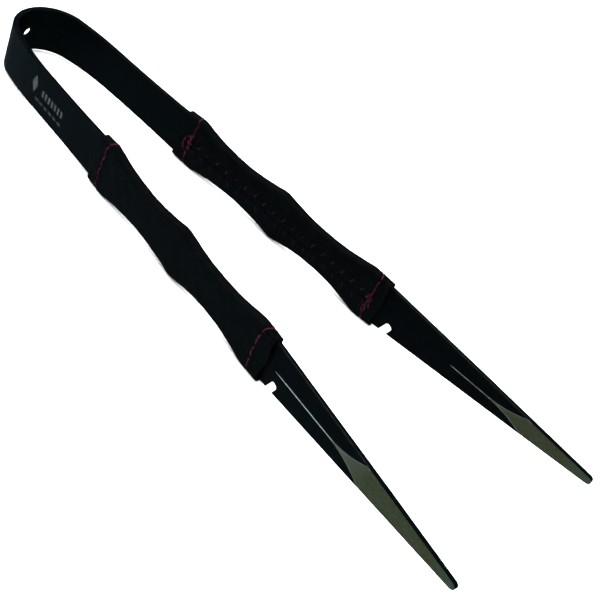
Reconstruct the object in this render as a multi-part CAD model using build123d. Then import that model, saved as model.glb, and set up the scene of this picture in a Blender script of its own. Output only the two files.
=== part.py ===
"""Spring tweezers made from one bent steel strip, with a laced leather sleeve on each arm.

Millimetres. While the parts are drawn, x runs from the crown's outer face to the tips, the left arm
is on the +Y side, and z = 0 is the strip's mid-height. main() then moves every part so that the
origin is the centre of the base and +Z is up: the tweezers rest on their long edges.
"""

import os
from math import atan2, cos, degrees, radians, sin

from build123d import *

# Steel strip: its thickness, and its line in plan for one arm, from the middle of the crown.
STRIP_THICKNESS = 2.3
CROWN_OUTER_RADIUS = 16.8
CROWN_END_SLOPE = 15.0
SHOULDER_RADIUS = 118.0
LEG_SLOPE = 4.0
GRIP_SLOPE = 4.7
BLADE_SLOPE = 5.8
BEND_RADIUS = 200.0
OVERALL_LENGTH = 287.2

# Strip in side view: half-heights, and places measured from the crown's outer face.
CROWN_HALF_HEIGHT = 10.0
CROWN_EDGE_END = 12.0
LEG_HALF_HEIGHT = 9.25
LEG_MIDDLE = 47.0
GRIP_BEND = 74.0
GRIP_START = 78.3
BLADE_BEND = 178.0
GRIP_END = 188.1
BLADE_START = 189.0

# The strip's flexing stretch is divided here, so that each arm turns about one upright axis.
FLEX_PLACE = 38.0
FLEX_GAP = 0.6

# Leather sleeve: its thickness, and its scalloped edges as (place, half-height) at peaks and hollows.
LEATHER_THICKNESS = 1.2
SLEEVE_EDGE_RADIUS = 1.7
TOP_SCALLOPS = [(86.5, 11.3), (107.5, 8.0), (131.5, 10.95), (155.0, 8.25), (178.0, 11.2)]
BOTTOM_SCALLOPS = [(88.0, 11.35), (109.5, 8.25), (133.5, 10.95), (154.5, 7.55), (178.5, 11.35)]
SLEEVE_START_HEIGHTS = (10.8, 10.7)
SLEEVE_END_HEIGHTS = (10.55, 10.75)
PEAK_RADIUS = 5.0

# Blade: a straight taper with a low central ridge, and a flat ground on each face near the tip.
BLADE_HALF_HEIGHT = 9.95
TIP_HALF_HEIGHT = 1.8
RIDGE_START = 186.0
RIDGE_SLOPE = 0.045
OUTER_FLAT = (224.0, 241.0)
INNER_FLAT = (241.0, 257.0)

# Slot in the lower edge of each blade, leaning towards the tip.
NOTCH_PLACE = 192.8
NOTCH_WIDTH = 3.1
NOTCH_DEPTH = 5.2
NOTCH_LEAN = 22.0
NOTCH_CORNER = 1.2

HANGING_HOLE_RADIUS = 2.0
HANGING_HOLE_HEIGHT = -1.3

# Thread: running stitches round both ends of each sleeve, and the lacing along its inner face.
# Heights are measured up from mid-height.
THREAD_RADIUS = 0.4
THREAD_RISE = 0.15
UPPER_WRAP = {"outer": 83.7, "inner": 84.9}
LOWER_WRAP = {"outer": 181.2, "inner": 183.1}
OUTER_STITCHES = [(9.3, 5.4), (4.5, 0.3), (-0.6, -5.3), (-6.2, -9.3)]
INNER_STITCHES = [(9.0, 4.8), (-4.8, -8.9)]
EDGE_STITCH_SINK = 0.45
LACING_START = 89.0
LACING_PITCH = 5.22
LACING_STITCHES = 18
UPPER_DASH = ((0.0, 0.2), (1.2, 2.3))
LOWER_DASH = ((-2.4, -1.8), (-1.4, -4.8))

# Tied end of the thread beside each wrap: a knot lying up the sleeve, with a loop on the crown's side.
KNOT_RADIUS = 0.75
KNOT_ENDS = (2.9, -2.6)
UPPER_LOOP_RADIUS = 2.6
LOWER_LOOP_RADIUS = 1.6

HALF_STRIP = STRIP_THICKNESS / 2
SLEEVE_FACE = HALF_STRIP + LEATHER_THICKNESS
CUT = 14.0
ARM_REACH = 60.0
MATCH = 0.1


def plan_stretches():
    """The centreline after the crown, as (bend radius, turn to the left, straight length after it)."""
    leg_x = CROWN_OUTER_RADIUS - (CROWN_OUTER_RADIUS - HALF_STRIP) * sin(radians(CROWN_END_SLOPE))
    leg_x += SHOULDER_RADIUS * (sin(radians(CROWN_END_SLOPE)) - sin(radians(LEG_SLOPE)))
    return [
        (SHOULDER_RADIUS, LEG_SLOPE - CROWN_END_SLOPE, (GRIP_BEND - leg_x) / cos(radians(LEG_SLOPE))),
        (BEND_RADIUS, GRIP_SLOPE - LEG_SLOPE, (BLADE_BEND - GRIP_BEND) / cos(radians(GRIP_SLOPE))),
        (BEND_RADIUS, BLADE_SLOPE - GRIP_SLOPE, OVERALL_LENGTH - BLADE_BEND + CUT),
    ]


def plan_line(offset):
    """The left arm's line in plan, set off to the left of the strip's centreline."""
    radius = CROWN_OUTER_RADIUS - HALF_STRIP + offset
    edges = [CenterArc((CROWN_OUTER_RADIUS, 0), radius, 180, CROWN_END_SLOPE - 90)]
    for bend, turn, straight in plan_stretches():
        side_radius = bend + offset if turn < 0 else bend - offset
        edges.append(JernArc(edges[-1] @ 1, edges[-1] % 1, side_radius, turn))
        edges.append(Line(edges[-1] @ 1, (edges[-1] @ 1) + (edges[-1] % 1) * straight))
    return edges


def ribbon(half_thickness):
    """The left arm as a tall ribbon of one thickness, from the middle of the crown to past the tip."""
    outer, inner = plan_line(half_thickness), plan_line(-half_thickness)
    ends = [Line(outer[0] @ 0, inner[0] @ 0), Line(outer[-1] @ 1, inner[-1] @ 1)]
    return extrude(Face(Wire(outer + inner + ends)), CUT, both=True)


def arm_frame(x):
    """A location on the left arm's centreline at x: its X axis follows the arm, its Y axis points out."""
    for edge in plan_line(0.0)[2:]:
        start, end = (edge @ 0).X, (edge @ 1).X
        if start <= x <= end:
            along = (x - start) / (end - start)
            slope = atan2((edge % along).Y, (edge % along).X)
            return Location(edge @ along, (0, 0, degrees(slope)))
    raise ValueError(f"the arm has no straight or gently bent stretch at x = {x}")


def scalloped_edge(scallops, inset, side):
    """One long edge of the grip, as two hollows between three peaks, on the side +1 or -1 of z = 0."""
    first, hollow_1, middle, hollow_2, last = [(x, side * (z - inset)) for x, z in scallops]
    return [ThreePointArc(first, hollow_1, middle), ThreePointArc(middle, hollow_2, last)]


def upright(edges):
    """A closed outline drawn in side view, its peaks rounded, thickened across the left arm's space."""
    face = Face(Wire(edges))
    peaks = [x for x, _ in TOP_SCALLOPS[::2] + BOTTOM_SCALLOPS[::2]]
    corners = [v for v in face.vertices() if any(abs(v.X - x) < MATCH for x in peaks)]
    return extrude(Plane.XZ * fillet(corners, PEAK_RADIUS), ARM_REACH, both=True)


def strip_edge(scallops, side):
    """The strip's upper or lower edge in side view, from the crown to where the tip's round begins."""
    grip = scalloped_edge(scallops, LEATHER_THICKNESS, side)
    crown = (CROWN_EDGE_END, side * CROWN_HALF_HEIGHT)
    leg = (LEG_MIDDLE, side * LEG_HALF_HEIGHT)
    blade = (BLADE_START, side * BLADE_HALF_HEIGHT)
    tip = (OVERALL_LENGTH - TIP_HALF_HEIGHT, side * TIP_HALF_HEIGHT)
    return [
        Line((-CUT, side * CROWN_HALF_HEIGHT), crown),
        ThreePointArc(crown, leg, grip[0] @ 0),
        *grip,
        Line(grip[-1] @ 1, blade),
        Line(blade, tip),
    ]


def blade_half_height(x):
    """Half the blade's height where its centreline passes x."""
    share = (x - BLADE_START) / (OVERALL_LENGTH - TIP_HALF_HEIGHT - BLADE_START)
    return BLADE_HALF_HEIGHT + share * (TIP_HALF_HEIGHT - BLADE_HALF_HEIGHT)


def ridge_cut(face, half):
    """What bevels one face of the blade, +1 outer or -1 inner, above (+1) or below (-1) its ridge."""
    points = [
        (face * HALF_STRIP, 0),
        (face * (HALF_STRIP - RIDGE_SLOPE * CUT), half * CUT),
        (face * CUT, half * CUT),
        (face * CUT, 0),
    ]
    section = Plane.YZ * Face(Wire.make_polygon(points))
    length = OVERALL_LENGTH - RIDGE_START + CUT
    return arm_frame(RIDGE_START) * extrude(section, length, dir=(1, 0, 0))


def flat_cut(face, start, full):
    """What grinds one face of the blade flat: it starts on the ridge and reaches both edges at full."""
    level = HALF_STRIP - RIDGE_SLOPE * blade_half_height(full)
    end = OVERALL_LENGTH - start + CUT
    points = [(0, HALF_STRIP), (full - start, level), (end, level), (end, CUT), (0, CUT)]
    outline = Face(Wire.make_polygon([(x, face * y) for x, y in points]))
    return arm_frame(start) * extrude(outline, CUT, both=True)


def notch_cut():
    """The leaning slot in the blade's lower edge, with rounded inner corners."""
    mouth = Vector(NOTCH_PLACE, -blade_half_height(NOTCH_PLACE))
    slot = Pos(0, NOTCH_DEPTH - CUT / 2) * Rectangle(NOTCH_WIDTH, CUT)
    slot = fillet(slot.vertices().sort_by(Axis.Y)[-2:], NOTCH_CORNER)
    outline = Pos(mouth) * Rot(0, 0, -NOTCH_LEAN) * slot
    return extrude(Plane.XZ * outline, ARM_REACH, both=True)


def arm_blank():
    """The whole left half of the strip, from the middle of the crown to the tip."""
    top, bottom = strip_edge(TOP_SCALLOPS, 1), strip_edge(BOTTOM_SCALLOPS, -1)
    tip = ThreePointArc(top[-1] @ 1, (OVERALL_LENGTH, 0), bottom[-1] @ 1)
    back = Line(top[0] @ 0, bottom[0] @ 0)
    blank = ribbon(HALF_STRIP) & upright([*top, tip, *bottom, back])
    for face, (start, full) in ((1, OUTER_FLAT), (-1, INNER_FLAT)):
        blank -= flat_cut(face, start, full)
        for half in (1, -1):
            blank -= ridge_cut(face, half)
    return blank - notch_cut()


def behind(x):
    """Everything on the crown's side of a plane across the arm at x."""
    size = 4 * ARM_REACH
    return Pos(x - size / 2, 0, 0) * Box(size, size, size)


def bow_and_arm():
    """The strip's crown with both shoulders as one solid, and the left arm in front of its flex line."""
    blank = arm_blank()
    shoulder = blank & behind(FLEX_PLACE - FLEX_GAP / 2)
    bow = shoulder + mirror(shoulder, Plane.XZ)
    hole = Rot(0, 90, 0) * Cylinder(HANGING_HOLE_RADIUS, CROWN_OUTER_RADIUS)
    bow -= Pos(HALF_STRIP, 0, HANGING_HOLE_HEIGHT) * hole
    return bow, blank - behind(FLEX_PLACE + FLEX_GAP / 2)


def sleeve(steel):
    """The leather round one grip: a rounded, scalloped tube that fits the steel inside it."""
    top, bottom = scalloped_edge(TOP_SCALLOPS, 0, 1), scalloped_edge(BOTTOM_SCALLOPS, 0, -1)
    start = [(GRIP_START, SLEEVE_START_HEIGHTS[0]), (GRIP_START, -SLEEVE_START_HEIGHTS[1])]
    end = [(GRIP_END, SLEEVE_END_HEIGHTS[0]), (GRIP_END, -SLEEVE_END_HEIGHTS[1])]
    ends = [
        Line(start[0], start[1]),
        Line(start[0], top[0] @ 0),
        Line(start[1], bottom[0] @ 0),
        Line(top[-1] @ 1, end[0]),
        Line(bottom[-1] @ 1, end[1]),
        Line(end[0], end[1]),
    ]
    blank = ribbon(SLEEVE_FACE) & upright([*top, *bottom, *ends])
    long_edges = [e for e in blank.edges() if abs((e % 0.5).X) > cos(radians(45))]
    return fillet(long_edges, SLEEVE_EDGE_RADIUS) - steel


def thread(x, start, end, radius=THREAD_RADIUS):
    """A straight thread in the arm's frame at x, between two points given as (along, across, up)."""
    run = Vector(*end) - Vector(*start)
    rod = Cylinder(radius, run.length)
    rod = chamfer(rod.edges().filter_by(GeomType.CIRCLE), radius / 2)
    return arm_frame(x) * Plane((Vector(*start) + Vector(*end)) / 2, z_dir=run).location * rod


def between(x, start, end):
    """The height at x on a straight stretch of edge between two (place, half-height) points."""
    return start[1] + (end[1] - start[1]) * (x - start[0]) / (end[0] - start[0])


def wrap_stitches(places, top, bottom):
    """Running stitches once round a sleeve, where its edges are at +top and -bottom."""
    stitches = []
    for side, name, heights in ((1, "outer", OUTER_STITCHES), (-1, "inner", INNER_STITCHES)):
        across = side * (SLEEVE_FACE + THREAD_RISE)
        for high, low in heights:
            stitches.append(thread(places[name], (0, across, high), (0, across, low)))
    middle = (places["outer"] + places["inner"]) / 2
    reach = SLEEVE_FACE - SLEEVE_EDGE_RADIUS
    for height in (top + THREAD_RISE, EDGE_STITCH_SINK - bottom):
        stitches.append(thread(middle, (0, -reach, height), (0, reach, height)))
    return stitches


def lacing():
    """The lacing along the sleeve's inner face: a row of dashes each side of the seam, leaning out."""
    across = -(SLEEVE_FACE + THREAD_RISE)
    dashes = []
    for ends, count in ((UPPER_DASH, LACING_STITCHES), (LOWER_DASH, LACING_STITCHES + 1)):
        for i in range(count):
            points = [(along, across, z) for along, z in ends]
            dashes.append(thread(LACING_START + i * LACING_PITCH, *points))
    return dashes


def knot(x, loop_radius):
    """The thread's tied end on the sleeve's inner face: a knot with a half-ring loop beside it."""
    across = -(SLEEVE_FACE + THREAD_RISE)
    high, low = KNOT_ENDS
    core = thread(x, (0, across, high), (0, across, low), KNOT_RADIUS)
    loop = Torus(loop_radius, THREAD_RADIUS, major_angle=180)
    sleeve_plane = Plane((0, across, (high + low) / 2), x_dir=(0, 0, 1), z_dir=(0, -1, 0))
    return core + arm_frame(x) * sleeve_plane.location * loop


def main():
    bow, arm_steel = bow_and_arm()
    top_start = (GRIP_START, SLEEVE_START_HEIGHTS[0])
    bottom_start = (GRIP_START, SLEEVE_START_HEIGHTS[1])
    top_end = (GRIP_END, SLEEVE_END_HEIGHTS[0])
    bottom_end = (GRIP_END, SLEEVE_END_HEIGHTS[1])
    left_parts = {
        "arm_steel": [arm_steel],
        "leather_sleeve": [sleeve(arm_steel)],
        "upper_wrap_stitches": wrap_stitches(
            UPPER_WRAP,
            between(UPPER_WRAP["outer"], top_start, TOP_SCALLOPS[0]),
            between(UPPER_WRAP["outer"], bottom_start, BOTTOM_SCALLOPS[0]),
        ),
        "lower_wrap_stitches": wrap_stitches(
            LOWER_WRAP,
            between(LOWER_WRAP["outer"], TOP_SCALLOPS[-1], top_end),
            between(LOWER_WRAP["outer"], BOTTOM_SCALLOPS[-1], bottom_end),
        ),
        "seam_lacing": lacing(),
        "upper_seam_knot": [knot(UPPER_WRAP["inner"], UPPER_LOOP_RADIUS)],
        "lower_seam_knot": [knot(LOWER_WRAP["inner"], LOWER_LOOP_RADIUS)],
    }
    nodes = {"steel_bow": [bow]}
    for name, solids in left_parts.items():
        nodes["left_" + name] = solids
        nodes["right_" + name] = [mirror(solid, Plane.XZ) for solid in solids]

    base = nodes["left_leather_sleeve"][0].bounding_box().min.Z
    shift = Pos(-OVERALL_LENGTH / 2, 0, -base)
    os.makedirs("parts", exist_ok=True)
    for name, solids in nodes.items():
        placed = Compound(children=[s for solid in solids for s in (shift * solid).solids()])
        export_step(placed, f"parts/{name}.step")
    hinge = arm_frame(FLEX_PLACE).position
    print("base lift", round(-base, 3), "hinge", [round(v, 3) for v in (hinge.X, hinge.Y)])


if __name__ == "__main__":
    main()
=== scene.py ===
"""Spring tweezers with laced leather grips: the looks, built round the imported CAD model.

Lengths are millimetres in the drawing frame of the part: x runs from the crown's outer face to the
tips, the left arm is on the +Y side, and z = 0 is the strip's mid-height. to_row() turns them into
the frame's metres. w is a distance round a leather sleeve, from the middle of its top edge: it is
positive down the outer face and negative down the inner face.
"""

import math

import bmesh
import bpy
import numpy as np
from mathutils import Matrix, Vector


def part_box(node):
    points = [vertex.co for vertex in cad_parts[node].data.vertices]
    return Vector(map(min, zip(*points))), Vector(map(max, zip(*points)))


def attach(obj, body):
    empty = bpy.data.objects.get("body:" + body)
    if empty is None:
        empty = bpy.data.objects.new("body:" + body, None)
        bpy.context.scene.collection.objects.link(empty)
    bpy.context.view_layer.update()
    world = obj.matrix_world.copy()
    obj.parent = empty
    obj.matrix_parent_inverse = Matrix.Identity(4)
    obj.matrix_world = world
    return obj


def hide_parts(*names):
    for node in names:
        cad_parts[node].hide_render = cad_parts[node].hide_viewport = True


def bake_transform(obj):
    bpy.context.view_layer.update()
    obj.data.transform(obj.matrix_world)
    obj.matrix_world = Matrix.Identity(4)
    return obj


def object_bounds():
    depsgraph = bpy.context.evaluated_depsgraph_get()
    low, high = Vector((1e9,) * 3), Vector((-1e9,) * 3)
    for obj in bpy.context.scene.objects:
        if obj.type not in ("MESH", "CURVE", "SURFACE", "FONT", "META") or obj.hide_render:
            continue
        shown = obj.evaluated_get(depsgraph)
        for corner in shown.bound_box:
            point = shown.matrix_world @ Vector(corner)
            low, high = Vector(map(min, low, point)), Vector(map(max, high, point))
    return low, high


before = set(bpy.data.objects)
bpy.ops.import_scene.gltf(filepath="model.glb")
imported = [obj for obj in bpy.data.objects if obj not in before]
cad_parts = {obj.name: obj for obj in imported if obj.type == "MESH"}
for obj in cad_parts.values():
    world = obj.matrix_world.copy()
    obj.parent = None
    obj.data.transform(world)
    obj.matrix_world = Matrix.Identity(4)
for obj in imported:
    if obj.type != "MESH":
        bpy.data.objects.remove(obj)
CAD_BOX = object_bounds()

# A millimetre in metres, and a centimetre in millimetres.
MM = 0.001
CM = 10.0

BOW_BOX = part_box("steel_bow")
CROWN_X = BOW_BOX[0].x / MM
MID_Z = (BOW_BOX[0].z + BOW_BOX[1].z) / 2 / MM
TIP_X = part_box("left_arm_steel")[1].x / MM - CROWN_X

# Steel strip, as in the part.
HALF_STRIP = 1.15
CROWN_RADIUS = 15.65
CROWN_END_SLOPE = 15.0
SHOULDER_RADIUS = 118.0
LEG_SLOPE = 4.0
GRIP_BEND = 74.0
GRIP_SLOPE = 4.7
BLADE_BEND = 178.0
BLADE_SLOPE = 5.8
BEND_RADIUS = 200.0
PAST_TIP = 10.0
CROWN_HALF_HEIGHT = 10.0
CROWN_EDGE_END = 12.0
LEG_HALF_HEIGHT = 9.25
LEG_MIDDLE = 47.0
BLADE_START = 189.0
BLADE_HALF_HEIGHT = 9.95
TIP_HALF_HEIGHT = 1.8
TIP_CENTRE = TIP_X - TIP_HALF_HEIGHT
TIP_ANGLES = (15, 30, 43, 55, 66, 76, 84)
RIDGE_START = 185.0
RIDGE_RUN_IN = 2.0
RIDGE_SLOPE = 0.045
OUTER_FLAT = (224.0, 241.0)
INNER_FLAT = (241.0, 257.0)

# Its long corners, rounded by no more than a share of its half-height, and the shading's limit.
EDGE_ROUND = 0.3
EDGE_SHARE = 0.3
CORNER_ANGLES = (90, 60, 30)
SHARP_FOLD = 25

# The bare line along each ridge: where it starts, its half-width, and how its end narrows.
OUTER_LINE_START = 192.4
INNER_LINE_START = 222.0
LINE_HALF_WIDTH = 0.21
LINE_END_SHARE = 0.12
LINE_RUN_IN = 4.0

# A ground flat opens from the line in a curved V, its rim bright with painted highlight. It starts before the
# CAD's.
FLAT_LEAD = 3.0
FLAT_OPENING = 2.3
FLAT_MARGIN = 0.12
FLAT_BREAK = 0.35
RIM_WIDTH = 0.22
RIM_SHARE = 0.4
RIM_OVERLAP = 1.0
LINE_OVERLAP = 0.5
BEVEL_STEPS = 5

# Slot in each blade's lower edge, and the hole through the crown.
NOTCH_PLACE = 192.8
NOTCH_WIDTH = 3.1
NOTCH_DEPTH = 5.2
NOTCH_LEAN = 22.0
NOTCH_CORNER = 1.2
NOTCH_MOUTH = 4.0
NOTCH_REACH = 5.0
HOLE_RADIUS = 2.0
HOLE_HEIGHT = -1.3
HOLE_CHAMFER = 0.3
HOLE_REACH = 2.0
HOLE_SIDES = 48

# Where the right arm's outer face carries a small printed ornament.
PRINT_ZONE = (27.0, 60.0)

# Two places along each arm beside the crown, where the strip would bend as the arms close. Nothing here bends
# it.
FLEX_START = 14.0
FLEX_END = 62.0

# Leather sleeve: its thickness, the roundness of its long edges, how far its faces bulge, and its
# outline as (place, half-height). Round each half of it are a half top, an arc, a face, an arc and
# a half bottom.
LEATHER = 1.2
SLEEVE_FACE = HALF_STRIP + LEATHER
SLEEVE_ROUND = 1.35
INNER_ROUND = 0.35
FACE_BULGE = 0.16
SLEEVE_TOP = [
    (78.3, 10.8), (86.5, 11.3), (107.5, 8.0), (131.5, 10.95), (155.0, 8.25), (178.0, 11.2), (188.1, 10.55),
]
SLEEVE_BOTTOM = [
    (78.3, 10.7), (88.0, 11.35), (109.5, 8.25), (133.5, 10.95), (154.5, 7.55), (178.5, 11.35), (188.1, 10.75),
]
SLEEVE_START, SLEEVE_END = SLEEVE_TOP[0][0], SLEEVE_TOP[-1][0]
HALF_TOP = SLEEVE_FACE - SLEEVE_ROUND
ARC = math.pi / 2 * SLEEVE_ROUND
PEAK_BLUR = 2.4
BLUR_REACH = 3.0
BLUR_STEPS = 9
SEAM_Z = -0.8
SEAM_GAP = 0.05

# Thread, and how far a stitch rises over the leather, sinks into it, and stops short of its holes.
WRAP_RADIUS = 0.32
KNOT_RADIUS = 0.29
LACING_RADIUS = 0.27
WRAP_RISE = 0.12
STITCH_SINK = 0.8
UPPER_STITCH_GAP = 0.13
LOWER_STITCH_GAP = 0.28
PLIES = 3
PLY_TURN = 2.2
PLY_SIDES = 7

# Lacing: dashes above and below the seam, each from its hole by the seam, as (along, height) pairs.
LACING_START = 89.0
LACING_PITCH = 5.22
LACING_STITCHES = 18
UPPER_DASH = ((0.0, 0.0), (1.25, 2.35))
LOWER_DASH = ((-2.45, -1.75), (-1.4, -4.85))
FIRST_LOWER_END = -4.0


def to_row(points):
    """Points in the drawing frame, in millimetres, as points in the row frame, in metres."""
    return (np.asarray(points, float) + [CROWN_X, 0.0, MID_Z]) * MM


# The strip's line in plan


def plan_runs():
    """The left half of the strip's centreline, as (length, turn to the left in degrees) runs."""
    crown_end, leg, grip = (math.radians(a) for a in (CROWN_END_SLOPE, LEG_SLOPE, GRIP_SLOPE))
    leg_x = CROWN_RADIUS + HALF_STRIP - CROWN_RADIUS * math.sin(crown_end)
    leg_x += SHOULDER_RADIUS * (math.sin(crown_end) - math.sin(leg))
    bends = [
        (CROWN_RADIUS, CROWN_END_SLOPE - 90, 0.0),
        (SHOULDER_RADIUS, LEG_SLOPE - CROWN_END_SLOPE, (GRIP_BEND - leg_x) / math.cos(leg)),
        (BEND_RADIUS, GRIP_SLOPE - LEG_SLOPE, (BLADE_BEND - GRIP_BEND) / math.cos(grip)),
        (BEND_RADIUS, BLADE_SLOPE - GRIP_SLOPE, TIP_X - BLADE_BEND + PAST_TIP),
    ]
    runs = []
    for radius, turn, straight in bends:
        runs += [(radius * math.radians(abs(turn)), turn), (straight, 0.0)]
    return [run for run in runs if run[0] > 0]


def trace_plan(step=0.05):
    """The left half's centreline as arrays of distance along it, x, y and heading in radians."""
    distances = [0.0]
    headings = [math.pi / 2]
    for length, turn in plan_runs():
        parts = max(1, math.ceil(length / step))
        first, start = distances[-1], headings[-1]
        for i in range(1, parts + 1):
            distances.append(first + length * i / parts)
            headings.append(start + math.radians(turn) * i / parts)
    s, heading = np.array(distances), np.array(headings)
    middle = (heading[1:] + heading[:-1]) / 2
    x = HALF_STRIP + np.concatenate([[0], np.cumsum(np.diff(s) * np.cos(middle))])
    y = np.concatenate([[0], np.cumsum(np.diff(s) * np.sin(middle))])
    return s, x, y, heading


PLAN_S, PLAN_X, PLAN_Y, PLAN_HEADING = trace_plan()
CROWN_END_S = CROWN_RADIUS * math.radians(90 - CROWN_END_SLOPE)


def along_strip(s, across, z):
    """Points at a distance s along the strip from the crown's middle, negative on the right half."""
    s, across, z = np.broadcast_arrays(s, across, z)
    side = np.where(s < 0, -1.0, 1.0)
    x = np.interp(abs(s), PLAN_S, PLAN_X)
    y = np.interp(abs(s), PLAN_S, PLAN_Y)
    heading = np.interp(abs(s), PLAN_S, PLAN_HEADING)
    return np.stack([x - across * np.sin(heading), side * (y + across * np.cos(heading)), z], axis=-1)


def distance_at(x):
    """The distance along the strip where the left arm's centreline passes x."""
    return np.interp(x, PLAN_X, PLAN_S)


def along_arm(x, across, z):
    """Points on the left arm where its centreline passes x, set off outwards by across."""
    return along_strip(distance_at(x), across, z)


# Outlines in side view


def arc_height(a, b, c, x):
    """The height at x of the arc through three (x, height) points."""
    (ax, az), (bx, bz), (cx, cz) = a, b, c
    d = 2 * (ax * (bz - cz) + bx * (cz - az) + cx * (az - bz))
    a2, b2, c2 = ax * ax + az * az, bx * bx + bz * bz, cx * cx + cz * cz
    ux = (a2 * (bz - cz) + b2 * (cz - az) + c2 * (az - bz)) / d
    uz = (a2 * (cx - bx) + b2 * (ax - cx) + c2 * (bx - ax)) / d
    radius = math.hypot(ax - ux, az - uz)
    return uz - math.copysign(1.0, uz - bz) * np.sqrt(np.maximum(radius**2 - (x - ux) ** 2, 0))


def scalloped(points, x):
    """A grip's edge: a line, two hollows between three peaks, and a line, with the peaks rounded."""
    start, first, hollow_1, middle, hollow_2, last, end = points

    def sharp(place):
        height = np.interp(place, [start[0], first[0]], [start[1], first[1]])
        height = np.where(place > first[0], arc_height(first, hollow_1, middle, place), height)
        height = np.where(place > middle[0], arc_height(middle, hollow_2, last, place), height)
        tail = np.interp(place, [last[0], end[0]], [last[1], end[1]])
        return np.where(place > last[0], tail, height)

    shifts = np.linspace(-PEAK_BLUR, PEAK_BLUR, BLUR_STEPS)
    weights = 1 - (shifts / BLUR_REACH) ** 2
    return sum(w * sharp(x + d) for w, d in zip(weights, shifts)) / weights.sum()


def strip_half_height(x, side):
    """Half the strip's height at x, above mid-height for side +1 and below it for side -1."""
    x = np.asarray(x, float)
    edge = SLEEVE_TOP if side > 0 else SLEEVE_BOTTOM
    grip_start, grip_end = edge[1], edge[-2]
    leg = arc_height(
        (CROWN_EDGE_END, CROWN_HALF_HEIGHT), (LEG_MIDDLE, LEG_HALF_HEIGHT),
        (grip_start[0], grip_start[1] - LEATHER), x,
    )
    blade = np.interp(
        x, [grip_end[0], BLADE_START, TIP_CENTRE],
        [grip_end[1] - LEATHER, BLADE_HALF_HEIGHT, TIP_HALF_HEIGHT],
    )
    round_tip = np.sqrt(np.maximum(TIP_HALF_HEIGHT**2 - (x - TIP_CENTRE) ** 2, 0.01))
    return np.select(
        [x > TIP_CENTRE, x > grip_end[0], x > grip_start[0], x >= CROWN_EDGE_END],
        [round_tip, blade, scalloped(edge, x) - LEATHER, leg], CROWN_HALF_HEIGHT,
    )


# Meshes


def new_object(name, data):
    """A new object in the scene."""
    made = bpy.data.objects.new(name, data)
    bpy.context.scene.collection.objects.link(made)
    return made


def new_piece(name, points, faces, materials, looks=None, uv=None, side=1):
    """A smooth piece from points in the drawing frame, with a (u, v) for each. Side -1 mirrors it."""
    if side < 0:
        points, faces = points * [1, -1, 1], [face[::-1] for face in faces]
    mesh = bpy.data.meshes.new(name)
    mesh.from_pydata(to_row(points).tolist(), [], faces)
    for material in materials:
        mesh.materials.append(material)
    if looks is not None:
        mesh.polygons.foreach_set("material_index", looks)
    if uv is not None:
        mesh.uv_layers.new(name="UVMap").data.foreach_set("uv", uv[np.concatenate(faces)].ravel())
    mesh.shade_smooth()
    return new_object(name, mesh)


def strip_faces(rows, size, closed=False):
    """Quads between successive rows of points, all the same size, which may close into rings."""
    faces = []
    for i in range(rows - 1):
        for j in range(size if closed else size - 1):
            k = (j + 1) % size
            faces.append((i * size + j, i * size + k, (i + 1) * size + k, (i + 1) * size + j))
    return faces


def tube_faces(rings, size):
    """The faces of a tube with closed ends, from successive rings of points."""
    ends = [tuple(reversed(range(size))), tuple(range((rings - 1) * size, rings * size))]
    return strip_faces(rings, size, closed=True) + ends


def mark_sharp(piece):
    """Makes the edges sharp that fold by more than SHARP_FOLD or divide two materials."""
    mesh = bmesh.new()
    mesh.from_mesh(piece.data)
    for edge in mesh.edges:
        if len(edge.link_faces) == 2:
            a, b = edge.link_faces
            gentle = edge.calc_face_angle(0.0) < math.radians(SHARP_FOLD)
            edge.smooth = gentle and a.material_index == b.material_index
    mesh.to_mesh(piece.data)
    mesh.free()
    weighted = piece.modifiers.new("even shading", "WEIGHTED_NORMAL")
    weighted.keep_sharp = True


def make_cutter(name, points, rings):
    """A closed shape for cutting, from rings of points, with its faces turned outwards."""
    cutter = new_piece(name, points, tube_faces(rings, len(points) // rings), [])
    mesh = bmesh.new()
    mesh.from_mesh(cutter.data)
    bmesh.ops.recalc_face_normals(mesh, faces=mesh.faces)
    mesh.to_mesh(cutter.data)
    mesh.free()
    return cutter


def cut_away(piece, cutter):
    """Takes the cutter's space out of the piece, and removes the cutter."""
    modifier = piece.modifiers.new("cut", "BOOLEAN")
    modifier.operation = "DIFFERENCE"
    modifier.solver = "EXACT"
    modifier.object = cutter
    bpy.context.view_layer.update()
    result = bpy.data.meshes.new_from_object(piece.evaluated_get(bpy.context.evaluated_depsgraph_get()))
    piece.modifiers.clear()
    old = piece.data
    piece.data = result
    bpy.data.meshes.remove(old)
    bpy.data.objects.remove(cutter)


# Steel strip

COAT, GROUND, LINE, EDGE, PRINT = 0, 1, 2, 3, 4


def face_kinds(face):
    """What the sides of the section along one face are, and the first side of the corner after it."""
    bevel = ["bevel"] * BEVEL_STEPS
    return [f"{face} {part}" for part in bevel + ["rim", "crest", "rim"] + bevel + ["edge"]]


SECTION_KINDS = (
    ["flat edge"] + ["outer edge"] * 2 + face_kinds("outer") + ["outer edge"] * 2 + ["flat edge"]
    + ["inner edge"] * 3 + face_kinds("inner") + ["inner edge"] + ["flat edge"] * 2
)


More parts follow.
